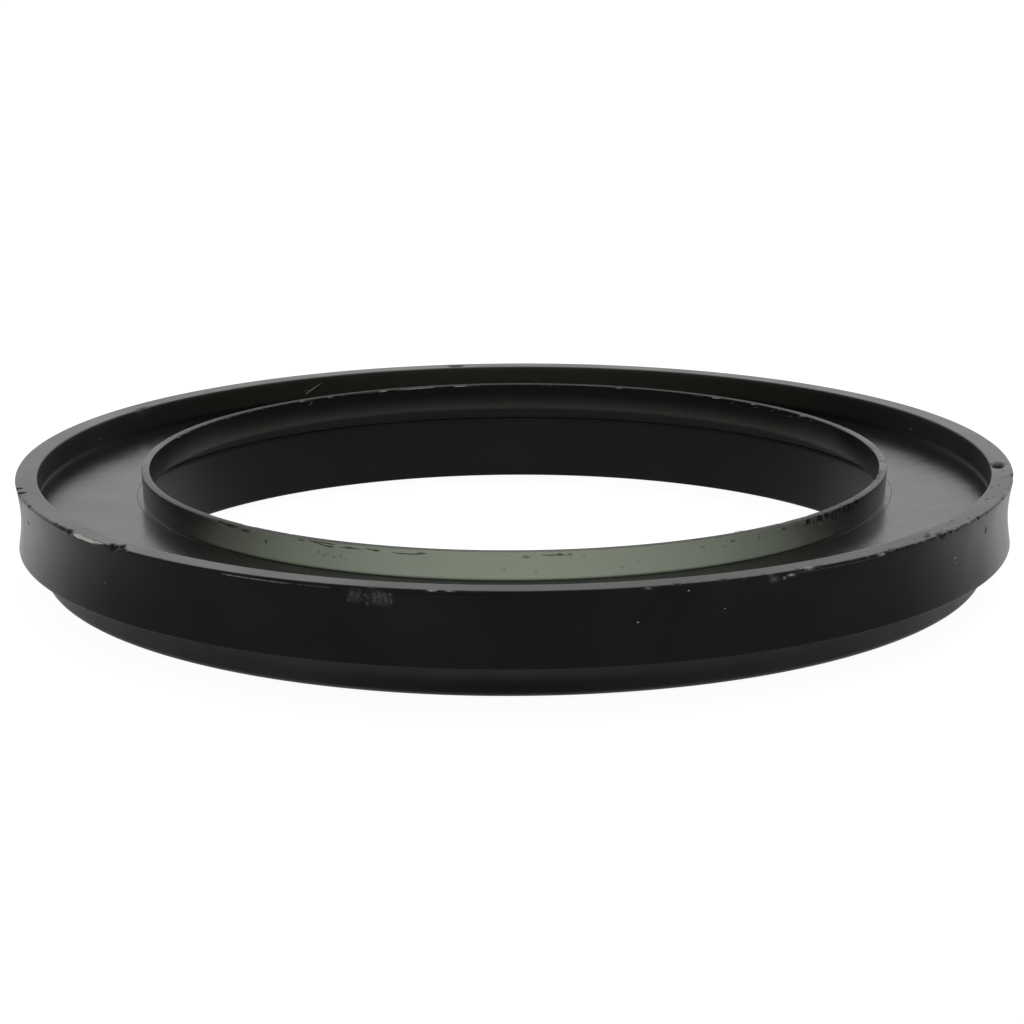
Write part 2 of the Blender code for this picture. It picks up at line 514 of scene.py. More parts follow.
def shellMarks(size):
    outer = size["radius"]
    top = size["top"]
    rimInner = outer - outerShell["rimWidth"]
    spots = [
        # azimuth, radius, height, half length, half width, lift, pale, dark
        (-16.1, outer, top - 1.4, 0.80, 0.8, 0, 0.06, 0),  # two rubbed patches on the front wall
        (-13.4, outer, top - 1.5, 1.50, 0.9, 0, 0.07, 0),
        (-53.2, outer, top - 0.16, 1.1, 0.24, -0.12, 6.0, 0),  # bare stripe on the left front edge
        (-51.4, outer, top - 0.11, 1.9, 0.15, -0.08, 6.0, 0),
        (-49.6, outer, top - 0.06, 1.2, 0.12, -0.06, 3.0, 0),
        (-46.6, outer - 0.3, top, 0.70, 0.50, -0.75, 0, 2.4),  # torn chip behind it
        (-46.2, outer - 1.1, top, 0.42, 0.36, -0.60, 0, 2.4),
        (-47.4, outer - 0.7, top, 0.40, 0.30, -0.55, 0, 2.4),
        (-45.6, outer - 0.5, top, 0.30, 0.40, -0.50, 0, 2.4),
        (-44.9, outer - 0.1, top, 0.50, 0.20, -0.25, 0, 1.6),
        (-55.4, outer - 0.1, top, 0.7, 0.34, -0.30, 0, 1.4),
        (-57.0, outer, top, 1.4, 0.22, -0.18, 0, 1.2),
        (-58.8, outer - 0.2, top, 0.5, 0.20, -0.12, 0, 1.0),
        (-74.2, outer - 0.3, top, 0.45, 0.65, -0.40, 0, 1.0),  # nicks at the far left
        (-76.4, outer - 0.4, top, 0.35, 0.55, -0.30, 0, 1.0),
        (-75.4, outer, top - 0.3, 0.35, 0.30, -0.04, 1.5, 0),
        (-72.6, outer, top - 0.6, 0.40, 0.50, -0.25, 0.8, 0),
        (85.7, rimInner + 1.25, top, 1.50, 0.80, -0.85, 0, 1.4),  # moulding vent on the right of the rim
        (87.1, rimInner + 0.7, top, 0.80, 0.26, 0.08, 0.5, 0),
        (80.5, outer, top - 0.4, 1.2, 0.44, -0.30, 0, 1.0),
        (78.2, outer, top - 0.2, 0.8, 0.18, 0.06, 0.7, 0),
        (72.0, outer - 0.1, top, 1.2, 0.18, 0.06, 0.5, 0),
        (51.3, outer - 0.1, top, 0.80, 0.46, -0.38, 0, 1.0),  # chips along the right front edge
        (49.6, outer - 0.9, top, 0.75, 0.24, -0.16, 0, 1.0),
        (50.4, outer - 1.4, top, 0.40, 0.20, -0.12, 0, 0.9),
        (54.6, outer - 0.2, top, 0.90, 0.18, 0.06, 0.6, 0),
        (57.6, outer - 0.1, top, 0.60, 0.16, 0.06, 0.6, 0),
        (42.6, outer - 0.4, top, 0.40, 0.34, -0.20, 0, 1.0),
        (41.0, outer, top - 0.2, 0.70, 0.18, -0.08, 1.0, 0),
        (29.0, outer, top - 0.5, 0.50, 0.13, 0.04, 0.60, 0),
        (28.2, outer, top - 0.8, 0.24, 0.18, -0.06, 0.40, 0),
        (27.0, outer, top - 1.0, 0.65, 0.42, -0.06, 0.13, 0.2),
        (31.2, outer - 0.1, top, 0.70, 0.24, 0.06, 0.9, 0),
        (29.8, outer - 0.1, top, 0.30, 0.22, -0.20, 0, 1.2),
        (16.3, outer - 0.1, top, 0.55, 0.18, -0.16, 0, 1.2),
        (21.3, outer - 0.1, top, 0.60, 0.18, -0.16, 0, 1.2),
        (13.2, outer, top - 0.1, 0.5, 0.16, -0.08, 0.4, 0),
        (-8.2, outer - 0.06, top, 0.5, 0.12, 0, 1.6, 0),
        (-7.8, outer - 0.25, top, 0.2, 0.20, 0, 1.2, 0),
        (-6.4, outer - 0.06, top, 0.7, 0.09, 0, 0.8, 0),
        (-122.0, rimInner, top, 0.9, 0.50, -0.40, 0, 0.9),  # notch in the rim's inner edge
        (-172.0, rimInner + 1.6, top, 1.0, 0.70, -0.35, 0, 0.9),  # pip on the back of the rim
        (-70.2, outer, top - 3.4, 0.24, 0.24, -0.14, 0, 1.0),
        (63.6, outer, top - 3.1, 0.22, 0.40, -0.12, 0, 1.0),
    ]
    marks = []
    for at, radius, height, long, wide, lift, pale, dark in spots:
        finish = {"lift": lift, "pale": pale, "dark": dark, "hard": 1.4}
        marks.append(surfaceMark(at, (radius, height), long, wide, **finish))
    # scattered flecks and pits on the right of the rim: azimuth, inset, half length, half width, paleness
    draws = np.random.default_rng(83)
    least = (28, 0.3, 0.15, 0.12, 0.06)
    most = (84, 2.9, 0.50, 0.24, 0.30)
    for i in range(outerShell["rimFlecks"]):
        at, inset, long, wide, pale = draws.uniform(least, most)
        tone = {"pale": pale} if i % 2 else {"dark": 2 * pale}
        marks.append(surfaceMark(at, (outer - inset, top), long, wide, lift=-0.03, hard=1.4, **tone))
    # fine strokes in the two rubbed patches, a third of them in the smaller one
    draws = np.random.default_rng(29)
    least = (-14.5, 0.6, 0.07, 0.10, 0.04)
    most = (-12.3, 2.3, 0.18, 0.32, 0.14)
    for i in range(outerShell["rubbedStrokes"]):
        at, drop, long, wide, pale = draws.uniform(least, most)
        if i % 3 == 0:
            at -= 2.3
        turn = draws.uniform(-60, 60)
        spot = (outer - 0.1 * drop, top - drop)
        marks.append(surfaceMark(at, spot, long, wide, turn=turn, pale=pale, hard=1.2))
    # shallow undercut just below the edge, with painted shade darkening the wall there
    marks.append(surfaceMark(-4.0, (outer, top - 0.6), 11.0, 0.2, lift=-0.1, dark=0.8, hard=3))
    return marks


def shellTears(size):
    edge = (size["radius"] - 0.05, size["top"])
    return tearsFrom([
        # from, to, edge, grain, share, reach, lift, pale, dark, seed
        (12, 30, edge, 1.6, 0.26, 0.13, -0.08, 0.35, 0, 11),
        (12, 30, edge, 1.4, 0.26, 0.16, -0.12, 0, 1.0, 17),
        (30, 47, edge, 1.3, 0.32, 0.20, -0.22, 0, 1.1, 12),
        (24, 64, edge, 1.5, 0.24, 0.14, 0.05, 0.45, 0, 13),
        (47, 66, edge, 1.2, 0.34, 0.24, -0.26, 0, 1.1, 14),
        (64, 74, edge, 1.7, 0.24, 0.20, -0.14, 0, 1.0, 15),
        (66, 80, edge, 1.9, 0.22, 0.12, 0.04, 0.5, 0, 16),
        (-48, -30, edge, 1.9, 0.20, 0.16, -0.10, 0, 0.8, 23),
        (-28, 12, edge, 2.2, 0.22, 0.12, -0.08, 0.3, 0, 31),
        (-24, 12, edge, 1.6, 0.24, 0.14, -0.10, 0, 0.9, 33),
        (-72, -57, edge, 1.6, 0.26, 0.20, -0.16, 0, 0.9, 37),
    ])


def arcPath(start, end, radius, height, drop, count):
    shares = np.linspace(0, 1, count)
    return [(start + (end - start) * share, radius, height - drop * share) for share in shares]


def speck(at, radius, height, size, pale):
    # a grain of dust, as a very short thread
    turn = math.degrees(size / radius)
    start = (at - turn, radius, height - size * 0.4)
    end = (at + turn, radius, height + size * 0.3)
    return {"path": [start, (at, radius, height), end], "thick": size * 0.6, "pale": pale}


def shellThreads(size):
    outer = size["radius"]
    top = size["top"]
    wall = outer - 0.36
    farWall = outer - outerShell["rimWidth"] - 0.02
    # scratches along the outer edge
    threads = [
        {"path": arcPath(-31, -22.8, outer - 0.02, top - 0.40, 0.10, 13), "thick": 0.09, "pale": 0.24},
        {"path": arcPath(-22.4, -18.4, outer - 0.04, top - 0.46, 0.04, 9), "thick": 0.06, "pale": 0.14},
        {"path": arcPath(28.5, 40.0, outer - 0.03, top - 0.40, 0.08, 15), "thick": 0.06, "pale": 0.10},
        {"path": arcPath(-63.5, -55.5, outer - 0.05, top - 0.55, 0.10, 13), "thick": 0.08, "pale": 0.55},
    ]
    # fibre on the far wall of the channel
    fibre = [(-150.0, farWall, top - 2.7), (-150.8, farWall, top - 2.2), (-152.4, farWall, top - 1.1)]
    branch = [(-149.8, farWall, top - 2.1), (-150.9, farWall, top - 2.15)]
    threads.append({"path": fibre, "thick": 0.13, "pale": 3})
    threads.append({"path": branch, "thick": 0.09, "pale": 3})
    dust = [
        # azimuth, radius, drop from the top, size
        (12.3, wall, 4.8, 0.13),
        (54.9, wall, 4.4, 0.16),
        (55.2, wall, 5.2, 0.10),
        (17.5, outer - 0.1, 1.0, 0.14),
        (21.5, wall, 4.0, 0.09),
        (-48.6, wall, 5.6, 0.10),
        (14.2, wall - 0.1, 9.2, 0.12),
        (-60.0, wall, 9.6, 0.10),
        (176.9, farWall, 2.4, 0.15),
        (-112.0, farWall, 2.6, 0.12),
        (-164.0, farWall, 2.9, 0.08),
        (116.0, farWall, 2.6, 0.14),
    ]
    for at, radius, below, grainSize in dust:
        threads.append(speck(at, radius, top - below, grainSize, 3))
    return threads


def shellShade(outline, angles, size):
    part = outerShell
    floor = part["floorHeight"]
    rimInner = size["radius"] - part["rimWidth"]
    radius, height = np.array(outline).T
    nearWall = np.abs(radius - rimInner) < 0.4
    channelWall = nearWall & (height > floor + 0.2) & (height < size["top"] - 0.05)
    channelFloor = (radius >= part["floorInner"]) & (radius < rimInner) & (np.abs(height - floor) < 0.1)
    rimTop = (radius > rimInner + 0.2) & (height > size["top"] - 0.02)
    # the channel's wall is dull at the sides, with painted light on it that is strongest at the back
    fromFront = np.abs(angleGap(angles, 0))[:, None]
    grown = (fromFront - part["wallLightFrom"]) / (part["wallLightFull"] - part["wallLightFrom"])
    paintedWallLight = np.clip(grown, part["wallLightLeast"], 1) * channelWall
    sides = np.clip((part["dullUntil"] - fromFront) / part["dullFade"], 0, 1)
    dull = part["dullWall"] * sides * channelWall
    # the top of the rim is worn at the front
    worn = np.exp(-((angleGap(angles, part["wornAt"]) / part["wornSpread"]) ** 2))[:, None]
    dull += part["wornRim"] * worn * rimTop
    return {"inner": paintedWallLight, "flat": channelFloor.astype(float), "dark": dull}


def makeOuterShell():
    outline = shellOutline(shellSize)
    angles = columnAngles(outerShell["columns"], outerShell["fineColumns"])
    piece = turnPiece(
        "outerShellRubber",
        outline,
        angles,
        shellMarks(shellSize),
        shellTears(shellSize),
        shellShade(outline, angles, shellSize),
        shellThreads(shellSize),
    )
    dress(piece, rubberFinish("shellRubber", outerShell["look"]), "outer_shell")
    print("outer shell:", len(piece.data.polygons), "faces")


# lip collar: thin upright lip, undercut throat and hidden root

lipCollar = {
    "lipRadius": 56.3,
    "lipThickness": 1.2,
    "lipLean": 0.2,
    "edgeRound": 0.16,
    "fillet": 0.06,
    "throatRadius": 55.0,
    "throatSpacing": 0.45,
    "boreRadius": 59.2,
    "boreEdge": (0.15, 0.08),  # chamfer at the foot of the throat, out and up
    "jointRadius": 57.0,
    "jointLand": 0.3,
    "neckRadius": 58.85,
    "rootFlange": 1.1,
    "faceSpacing": 0.2,
    "innerSpacing": 0.3,
    "thinMiddle": 0.5,  # azimuths of the middle and the end of the painted glow at the front
    "thinRun": 62.0,
    "lowBandGlow": 0.15,
    "lowBandTop": 2.7,  # above the channel's floor
    "lowBandFade": 2.2,
    "lowBandBehind": 80,
    "cutTopDull": 0.7,
    "cutTopClear": 0.6,  # less dull at the sides
    "cutTopClearAt": 88,
    "cutTopSpread": 40,
    "columns": 0.5,
    "fineColumns": ((-60, -5, 0.16), (-5, 36, 0.2), (36, 66, 0.14), (-176, -136, 0.25)),
    "pittedStrokes": 26,
    "pittedFlakes": 7,
    "look": {
        "colour": (0.010, 0.011, 0.010),
        "cloud": (0.013, 0.014, 0.012),
        # pale green colour for the painted glow of backlight on the lip
        "paintedGlowColour": (0.225, 0.250, 0.196),
        # slightly lighter colour for the throat: painted light from below
        "paintedShadingColour": (0.014, 0.0145, 0.0135),
        "pit": (0.004, 0.004, 0.003),
        "scuff": (0.34, 0.35, 0.33),
        "mottle": 7.0,
        "smear": 11.0,
        "grain": 0.2,
        "roughness": (0.20, 0.28),
        "waveDepth": 0.10,
        "grainDepth": 0.005,
        "glow": 0.94,
    },
}


def lipOutline(size):
    part = lipCollar
    edge = part["edgeRound"]
    top = size["top"]
    outer = part["lipRadius"]
    inner = outer - part["lipThickness"]
    foot = outer - part["lipLean"]
    floor = outerShell["floorHeight"]
    fillet = part["fillet"]
    bottom = size["bottom"]
    flangeTop = bottom + part["rootFlange"]
    bore = part["boreRadius"]
    boreOut, boreUp = part["boreEdge"]
    throat = part["throatRadius"]
    points = rounded((outer - edge, top - edge), edge, 90, 0, 3)
    points += straight((outer - 0.01, top - edge - 0.15), (foot, floor + fillet), part["faceSpacing"])
    points += rounded((foot + fillet, floor + fillet), fillet, 180, 270, 5)
    points += [
        (part["jointRadius"], floor),
        (part["jointRadius"], floor - part["jointLand"]),
        (part["neckRadius"], flangeTop),
        (size["radius"], flangeTop),
        (size["radius"], bottom),
        (bore + boreOut, bottom),
    ]
    points += straight((bore, bottom + boreUp), (throat, floor), part["throatSpacing"])
    points += straight((throat, floor), (inner, top - edge), part["innerSpacing"])
    points += rounded((inner + edge, top - edge), edge, 180, 90, 3)
    return points


def lipMarks(size):
    top = size["top"]
    outer = lipCollar["lipRadius"]
    spots = [
        # azimuth, drop from the top, half length, half width, lift
        (-44.5, 0.35, 1.6, 0.24, -0.06),  # smeared breaks in the left top edge
        (-41.5, 0.60, 0.9, 0.20, -0.05),
        (-46.8, 0.20, 0.8, 0.22, -0.08),
        (-29.0, 0.26, 0.32, 0.13, -0.05),  # thicker places along the film of flash
        (-26.5, 0.64, 0.50, 0.11, -0.05),
        (-23.5, 0.56, 0.55, 0.09, -0.04),
        (-19.4, 0.52, 0.42, 0.16, -0.04),
        (-13.0, 0.54, 0.50, 0.12, -0.05),
        (-37.6, 1.50, 0.24, 0.24, -0.05),
        (-31.2, 0.40, 0.6, 0.16, -0.04),
        (-28.4, 1.75, 0.14, 0.24, -0.03),  # scattered small flecks under the film
        (-27.5, 2.05, 0.20, 0.16, -0.03),
        (-26.9, 1.80, 0.12, 0.26, -0.03),
        (-25.9, 2.15, 0.24, 0.14, -0.03),
        (-24.8, 1.95, 0.16, 0.20, -0.03),
        (-24.1, 2.30, 0.14, 0.14, -0.03),
        (1.6, 0.75, 0.45, 0.18, -0.04),
        (6.2, 0.60, 0.30, 0.22, -0.05),
        (7.6, 0.45, 0.35, 0.16, -0.04),
        (9.6, 1.00, 0.25, 0.12, -0.03),
        (-1.5, 2.50, 0.35, 0.14, -0.02),
        (3.0, 2.90, 0.22, 0.14, -0.02),
        (15.0, 2.70, 0.22, 0.18, -0.03),
        (17.2, 2.20, 0.16, 0.14, -0.02),
        (27.2, 1.10, 0.30, 0.12, -0.03),
        (30.8, 1.45, 0.18, 0.16, -0.03),
        (32.1, 0.85, 0.36, 0.09, -0.04),
        (36.8, 1.20, 0.16, 0.22, -0.03),
        (41.5, 0.70, 0.40, 0.10, -0.04),
    ]
    marks = []
    for at, drop, long, wide, lift in spots:
        dark = 0.9 if lift < -0.03 else 0.5
        marks.append(surfaceMark(at, (outer, top - drop), long, wide, lift=lift, dark=dark, hard=1.5))
    # the film itself, a little paler than the lip
    film = ((-26.9, 0.42, 2.0, 0.12), (-21.0, 0.50, 1.6, 0.12), (-16.0, 0.55, 3.2, 0.14))
    for at, drop, long, wide in film:
        marks.append(surfaceMark(at, (outer, top - drop), long, wide, pale=0.4, hard=2))
    # pitted patch on the right: short dark strokes of every length, then a few pale flakes
    draws = np.random.default_rng(71)
    for i in range(lipCollar["pittedStrokes"]):
        at, drop, long, wide = draws.uniform((46.0, 0.20, 0.12, 0.12), (61.0, 1.35, 0.45, 0.50))
        finish = {"turn": draws.uniform(-30, 30), "lift": -0.07, "dark": 1.0, "hard": 1.5}
        marks.append(surfaceMark(at, (outer, top - drop), long, wide, **finish))
    for i in range(lipCollar["pittedFlakes"]):
        at, drop, long, wide = draws.uniform((42.0, 0.5, 0.1, 0.12), (60.0, 1.5, 0.2, 0.3))
        marks.append(surfaceMark(at, (outer, top - drop), long, wide, lift=0.06, pale=0.5))
    return marks


def lipTears(size):
    top = size["top"]
    outerEdge = (lipCollar["lipRadius"] - 0.05, top)
    innerEdge = (lipCollar["lipRadius"] - lipCollar["lipThickness"], top)
    return tearsFrom([
        # from, to, edge, grain, share, reach, lift, pale, dark, seed
        (-52, -8, outerEdge, 1.8, 0.28, 0.16, -0.09, 0, 0.9, 41),
        (-8, 40, outerEdge, 1.9, 0.22, 0.14, -0.07, 0, 0.8, 42),
        (38, 64, outerEdge, 1.0, 0.50, 0.26, -0.16, 0, 1.0, 44),
        (62, 118, outerEdge, 1.4, 0.34, 0.16, -0.10, 1.4, 0, 53),
        (66, 100, innerEdge, 1.2, 0.30, 0.20, -0.12, 0, 1.0, 54),
        (-112, -70, outerEdge, 1.3, 0.34, 0.16, -0.08, 1.4, 0, 43),
        (-76, -50, outerEdge, 1.7, 0.26, 0.16, -0.08, 0, 0.6, 45),
        (-52, 60, innerEdge, 2.1, 0.26, 0.14, -0.07, 0, 0.6, 47),
        (118, 176, innerEdge, 1.5, 0.35, 0.16, -0.08, 1.2, 0, 59),
        (-176, -104, innerEdge, 1.2, 0.40, 0.18, -0.08, 1.2, 0, 61),
    ])


def lipThreads(size):
    top = size["top"]
    face = lipCollar["lipRadius"] - 0.03
    innerTop = lipCollar["lipRadius"] - lipCollar["lipThickness"] + 0.1
    hairlines = [
        # dark lines round a film of flash: azimuth and drop from the top
        ((-30.2, 0.14), (-29.2, 0.30), (-28.0, 0.50), (-26.8, 0.68), (-25.9, 0.66)),
        ((-29.0, 0.20), (-27.8, 0.26), (-26.6, 0.24), (-25.6, 0.34)),
        ((-24.9, 0.56), (-23.9, 0.60), (-22.6, 0.52), (-21.6, 0.58)),
        ((-21.0, 0.36), (-20.2, 0.46), (-19.4, 0.60), (-18.8, 0.56)),
        ((-17.0, 0.62), (-15.8, 0.70), (-14.6, 0.68), (-13.6, 0.66), (-12.8, 0.54), (-12.2, 0.46)),
        ((3.6, 0.42), (4.8, 0.52), (6.4, 0.48), (7.2, 0.62)),
    ]
    threads = []
    for line in hairlines:
        path = [(at, face, top - drop) for at, drop in line]
        threads.append({"path": path, "thick": 0.06, "dark": 1.0, "tip": 0.5})
    slivers = [
        # pale slivers of flash along the far top edge: from, to, thickness
        (-171.8, -169.2, 0.09),
        (-166.5, -158.8, 0.07),
        (-157.4, -155.6, 0.10),
        (-147.0, -145.6, 0.07),
        (-141.0, -139.9, 0.08),
        (160.5, 162.0, 0.07),
        (141.5, 143.6, 0.08),
        (134.0, 135.0, 0.09),
        (121.5, 123.2, 0.08),
    ]
    for start, end, thick in slivers:
        path = arcPath(start, end, innerTop - 0.05, top - 0.1, 0.05, 5)
        threads.append({"path": path, "thick": thick, "pale": 3})
    # short slanting ones on the inner face, at the right
    face = innerTop - 0.13
    slanting = ((119.5, 0.35), (122.6, 0.30), (125.0, 0.55), (129.4, 0.30), (133.2, 0.35), (138.5, 0.30))
    for at, drop in slanting:
        path = [(at, face, top - drop), (at + 0.9, face, top - drop - 0.28)]
        threads.append({"path": path, "thick": 0.045, "pale": 0.9})
    # a curl over the front edge and a hanging tag at the back
    curl = [(33.0, innerTop, top - 0.1), (34.0, innerTop - 0.5, top), (35.2, innerTop - 0.1, top - 0.1)]
    tag = [(-142.6, innerTop - 0.12, top - 0.3), (-142.0, innerTop - 0.14, top - 0.9)]
    threads.append({"path": curl, "thick": 0.07, "pale": 0.6})
    threads.append({"path": tag, "thick": 0.08, "pale": 3})
    return threads


def lipShade(outline, angles, size):
    part = lipCollar
    floor = outerShell["floorHeight"]
    radius, height = np.array(outline).T
    fromFront = np.abs(angleGap(angles, 0))[:, None]
    lip = radius < part["jointRadius"]
    upright = np.clip((height - floor + 0.2) / 0.4, 0, 1) * lip
    # the upright lip lets light through, less in its lower half at the back; a painted glow of backlight
    # lies on its front, and behind, only its lower half has a faint one
    fromMiddle = angleGap(angles, part["thinMiddle"])
    front = np.clip(1 - (fromMiddle / part["thinRun"]) ** 2, 0, 1)[:, None] ** 1.5
    lowBand = np.clip((floor + part["lowBandTop"] - height) / part["lowBandFade"], 0, 1)
    lowBand = lowBand * np.clip((fromFront - part["lowBandBehind"]) / 25, 0, 1)
    thin = np.maximum(front, part["lowBandGlow"] * lowBand) * upright
    clear = upright * (1 - 0.8 * lowBand)
    # the throat takes the slightly lighter colour, painted light from below
    throat = (radius > part["throatRadius"] - 0.01) & (height < floor)
    # the cut top of the lip is dull at the front and back
    cutTop = lip & (height > size["top"] - 0.04)
    clearer = np.exp(-(((fromFront - part["cutTopClearAt"]) / part["cutTopSpread"]) ** 2))
    dull = cutTop * (part["cutTopDull"] - part["cutTopClear"] * clearer)
    return {"thin": thin, "clear": clear, "inner": throat.astype(float), "dark": dull}


def makeLipCollar():
    outline = lipOutline(lipSize)
    angles = columnAngles(lipCollar["columns"], lipCollar["fineColumns"])
    piece = turnPiece(
        "lipCollarRubber",
        outline,
        angles,
        lipMarks(lipSize),
        lipTears(lipSize),
        lipShade(outline, angles, lipSize),
        lipThreads(lipSize),
    )
    dress(piece, rubberFinish("lipRubber", lipCollar["look"]), "lip_collar")
    print("lip collar:", len(piece.data.polygons), "faces")


# bore sleeve: the wide bore under the throat

boreSleeve = {
    "chamfer": 0.6,
    "edgeRound": 0.25,
    "topRound": 0.1,
    "raised": 0.26,  # closes the joint under the lip collar to a fine line
    "columns": 0.75,
    "look": {
        "colour": (0.0066, 0.0072, 0.0084),
        "cloud": (0.0090, 0.0096, 0.0108),
        "pit": (0.003, 0.003, 0.003),
        "scuff": (0.14, 0.14, 0.13),
        "mottle": 12.0,
        "smear": 16.0,
        "grain": 0.25,
        "roughness": (0.33, 0.42),
        "waveDepth": 0.12,
        "grainDepth": 0.006,
    },
}


def makeBoreSleeve():
    part = boreSleeve
    size = sleeveSize
    bore = lipCollar["boreRadius"]
    edge = part["edgeRound"]
    topRound = part["topRound"]
    top = size["top"] + part["raised"]
    outline = straight((size["radius"], top), (size["radius"], edge), 1.6)
    outline += rounded((size["radius"] - edge, edge), edge, 0, -90, 3)
    outline += straight((size["radius"] - edge - 0.4, 0), (bore + part["chamfer"], 0), 0.8)
    outline += rounded((bore + part["chamfer"], part["chamfer"]), part["chamfer"], -90, -180, 4)
    outline += straight((bore, part["chamfer"] + 0.4), (bore, top - topRound), 0.6)
    outline += rounded((bore + topRound, top - topRound), topRound, 180, 90, 2)
    marks = [
        surfaceMark(-86.0, (bore, 5.5), 0.3, 0.6, dark=0.9, hard=2),
        surfaceMark(-84.5, (bore, 4.6), 0.25, 0.4, pale=0.5, hard=2),
    ]
    piece = turnPiece("boreSleeveRubber", outline, columnAngles(part["columns"]), marks)
    dress(piece, rubberFinish("sleeveRubber", boreSleeve["look"]), "bore_sleeve")
    print("bore sleeve:", len(piece.data.polygons), "faces")


# foot seal: the rounded step that the ring stands on

footSeal = {
    "draft": 0.2,
    "sideBottom": 2.2,
    "flatRadius": 64.0,
    "edgeRound": 0.25,
    "roundSteps": 16,
    "columns": 0.75,
    "paintedShadowBelow": (3.0, 2.2),  # height and fade of the painted shadow on the rounding
    "frontPaintedShadowBelow": (4.3, 1.2),
    "frontSpread": 30,
    "look": {
        "colour": (0.021, 0.021, 0.023),
        "cloud": (0.029, 0.029, 0.031),
        # near-black colour for the painted contact shadow
        "paintedShadingColour": (0.003, 0.003, 0.003),
        "pit": (0.003, 0.003, 0.003),
        "scuff": (0.14, 0.14, 0.14),
        "mottle": 8.0,
        "smear": 12.0,
        "grain": 0.3,
        "roughness": (0.40, 0.50),
        "waveDepth": 0.12,
        "grainDepth": 0.010,
    },
}


def makeFootSeal():
    part = footSeal
    size = footSize
    edge = part["edgeRound"]
    innerRadius = sleeveSize["radius"] + outerShell["gap"]
    sideBottom = part["sideBottom"]
    flat = part["flatRadius"]
    outline = straight((size["radius"], size["top"]), (size["radius"] - part["draft"], sideBottom), 0.6)
    reach = size["radius"] - part["draft"] - flat
    steps = part["roundSteps"]
    for i in range(steps + 1):
        angle = math.radians(90 * i / steps)
        outline.append((flat + reach * math.cos(angle), sideBottom - sideBottom * math.sin(angle)))
    outline += straight((flat - 0.5, 0), (innerRadius + edge, 0), 0.6)
    outline += rounded((innerRadius + edge, edge), edge, -90, -180, 3)
    outline += straight((innerRadius, edge + 0.8), (innerRadius, size["top"]), 1.5)
    outline += straight((innerRadius, size["top"]), (size["radius"], size["top"]), 2.0)
    # the rounding carries a painted contact shadow where it stands on the floor, and the lower side at
    # the front does too
    angles = columnAngles(part["columns"])
    height = np.array(outline)[:, 1]
    shadowTop, shadowFade = part["paintedShadowBelow"]
    frontTop, frontFade = part["frontPaintedShadowBelow"]
    atFront = np.exp(-((angleGap(angles, 0) / part["frontSpread"]) ** 2))[:, None]
    lowerSide = np.clip((frontTop - height) / frontFade, 0, 1)
    under = np.maximum(np.clip((shadowTop - height) / shadowFade, 0, 1), atFront * lowerSide)
    piece = turnPiece("footSealRubber", outline, angles, shade={"inner": under})
    dress(piece, rubberFinish("footRubber", footSeal["look"]), "foot_seal")
    print("foot seal:", len(piece.data.polygons), "faces")


# stiffening ring: the CAD ring stays, with a rolled steel finish

stiffeningRing = {
    "colour": (0.42, 0.43, 0.44),
    "stain": (0.24, 0.22, 0.20),
    "roughness": (0.28, 0.48),
    "cloud": 6.0,
    "rolling": 0.5,
    "rollingStretch": (1, 1, 6),
    "rollingDepth": 0.01,
}


def finishStiffener():
    material = bpy.data.materials.new("rolledSteel")
    material.use_nodes = True
    tree = material.node_tree
    shader = tree.nodes["Principled BSDF"]
    place = tree.nodes.new("ShaderNodeTexCoord").outputs["Object"]
    cloud = noiseAt(tree, place, stiffeningRing["cloud"], 4.0)
    rolling = noiseAt(tree, place, stiffeningRing["rolling"], 2.0, stiffeningRing["rollingStretch"])
    stained = remap(tree, cloud, 0.45, 0.75, 0, 1)
    colour = mixColours(tree, stained, stiffeningRing["colour"], stiffeningRing["stain"])
    join(tree, colour, shader.inputs["Base Color"])
    join(tree, remap(tree, cloud, 0.3, 0.7, *stiffeningRing["roughness"]), shader.inputs["Roughness"])
    join(tree, bumpNode(tree, rolling, stiffeningRing["rollingDepth"]), shader.inputs["Normal"])
    shader.inputs["Metallic"].default_value = 1.0
    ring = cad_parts["stiffening_ring"]
    ring.data.materials.clear()
    ring.data.materials.append(material)
    print("stiffening ring: steel finish on the CAD ring")


# studio: pale floor, bright back, dim front, one soft lamp and the camera

studio = {
    # lengths in metres, lamp power in watts
    "floorRadius": 3.0,
    "floorSides": 96,
    "floorColour": (0.25, 0.25, 0.25),
    "floorRoughness": 0.9,
    "floorGlow": 0.96,
    "frontLight": 0.17,
    "backLight": 1.0,
    "frontToBack": (0.08, 1.12),
    "underLight": 0.5,
    "underToSide": (-0.75, -0.35),
    "lampPower": 3.0,
    "lampSize": 0.7,
    "lampPlace": (0.15, 0.35, 0.9),
}

cameraView = {
    "distance": 450.5,  # from the ring's axis, in millimetres
    "aboveRim": 104.3,
    "sensor": 36,
    "lens": 106.9,
    "pitch": 14.03,
    "yaw": -0.045,
    "roll": -0.275,
}


def makeFloor():
    sides = studio["floorSides"]
    radius = studio["floorRadius"]
    corners = []
    for i in range(sides):
        angle = 2 * math.pi * i / sides
        corners.append((radius * math.cos(angle), radius * math.sin(angle), 0))
    mesh = bpy.data.meshes.new("studioFloor")
    mesh.from_pydata(corners, [], [list(range(sides))])
    floor = bpy.data.objects.new("studioFloor", mesh)
    bpy.context.scene.collection.objects.link(floor)
    material = bpy.data.materials.new("paleFloor")
    material.use_nodes = True
    tree = material.node_tree
    shader = tree.nodes["Principled BSDF"]
    shader.inputs["Base Color"].default_value = (*studio["floorColour"], 1)
    shader.inputs["Roughness"].default_value = studio["floorRoughness"]
    shader.inputs["Specular IOR Level"].default_value = 0.0
    shader.inputs["Emission Color"].default_value = (1, 1, 1, 1)
    shader.inputs["Emission Strength"].default_value = studio["floorGlow"]
    mesh.materials.append(material)
    floor.visible_glossy = False


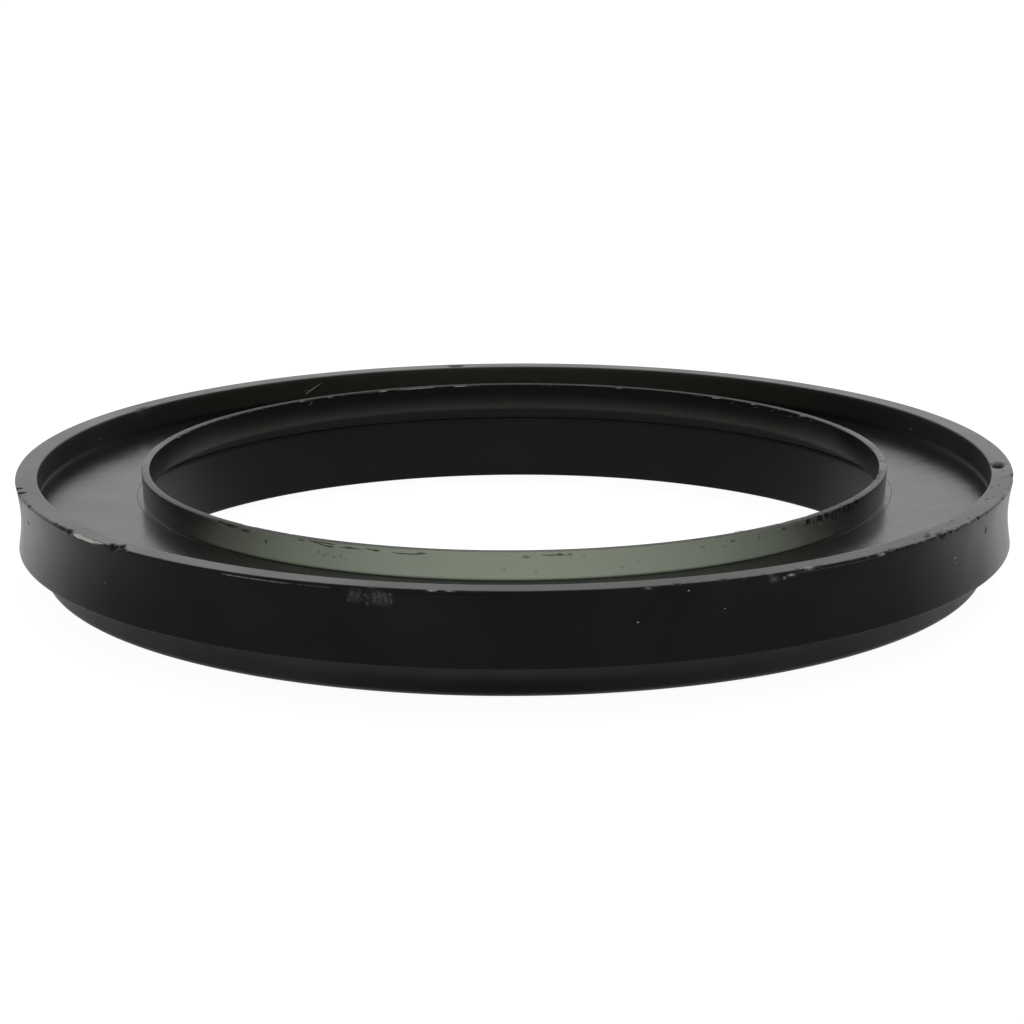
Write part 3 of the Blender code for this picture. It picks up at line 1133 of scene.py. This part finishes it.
def makeSky():
    world = bpy.data.worlds.new("studioSky")
    world.use_nodes = True
    bpy.context.scene.world = world
    tree = world.node_tree
    background = tree.nodes["Background"]
    background.inputs["Color"].default_value = (1, 1, 1, 1)
    split = tree.nodes.new("ShaderNodeSeparateXYZ")
    join(tree, tree.nodes.new("ShaderNodeTexCoord").outputs["Generated"], split.inputs["Vector"])
    lightRange = (studio["frontLight"], studio["backLight"])
    ramp = remap(tree, split.outputs["Y"], *studio["frontToBack"], *lightRange)
    ramp.node.interpolation_type = "SMOOTHSTEP"
    below = remap(tree, split.outputs["Z"], *studio["underToSide"], studio["underLight"], 1.0)
    light = arithmetic(tree, "MULTIPLY", ramp, below)
    # the camera sees plain white behind the ring
    strength = tree.nodes.new("ShaderNodeMix")
    join(tree, tree.nodes.new("ShaderNodeLightPath").outputs["Is Camera Ray"], strength.inputs[0])
    join(tree, light, strength.inputs[2])
    strength.inputs[3].default_value = 1.0
    join(tree, strength.outputs[0], background.inputs["Strength"])


def makeLamp():
    data = bpy.data.lights.new("softLamp", "AREA")
    data.shape = "DISK"
    data.size = studio["lampSize"]
    data.energy = studio["lampPower"]
    lamp = bpy.data.objects.new("softLamp", data)
    lamp.location = studio["lampPlace"]
    lamp.rotation_euler = (-Vector(studio["lampPlace"])).to_track_quat("-Z", "Y").to_euler()
    bpy.context.scene.collection.objects.link(lamp)


def makeCamera():
    data = bpy.data.cameras.new("studioCamera")
    data.sensor_width = cameraView["sensor"]
    data.lens = cameraView["lens"]
    camera = bpy.data.objects.new("studioCamera", data)
    camera.location = (0, -cameraView["distance"] * mm, (shellSize["top"] + cameraView["aboveRim"]) * mm)
    yaw = Matrix.Rotation(-math.radians(cameraView["yaw"]), 3, "Z")
    pitch = Matrix.Rotation(math.radians(90 - cameraView["pitch"]), 3, "X")
    roll = Matrix.Rotation(math.radians(cameraView["roll"]), 3, "Z")
    camera.rotation_euler = (yaw @ pitch @ roll).to_euler()
    bpy.context.scene.collection.objects.link(camera)
    bpy.context.scene.camera = camera


makeOuterShell()
makeLipCollar()
makeBoreSleeve()
makeFootSeal()
finishStiffener()
makeFloor()
makeSky()
makeLamp()
makeCamera()
bpy.context.scene.view_settings.view_transform = "Standard"
print("studio and camera set")
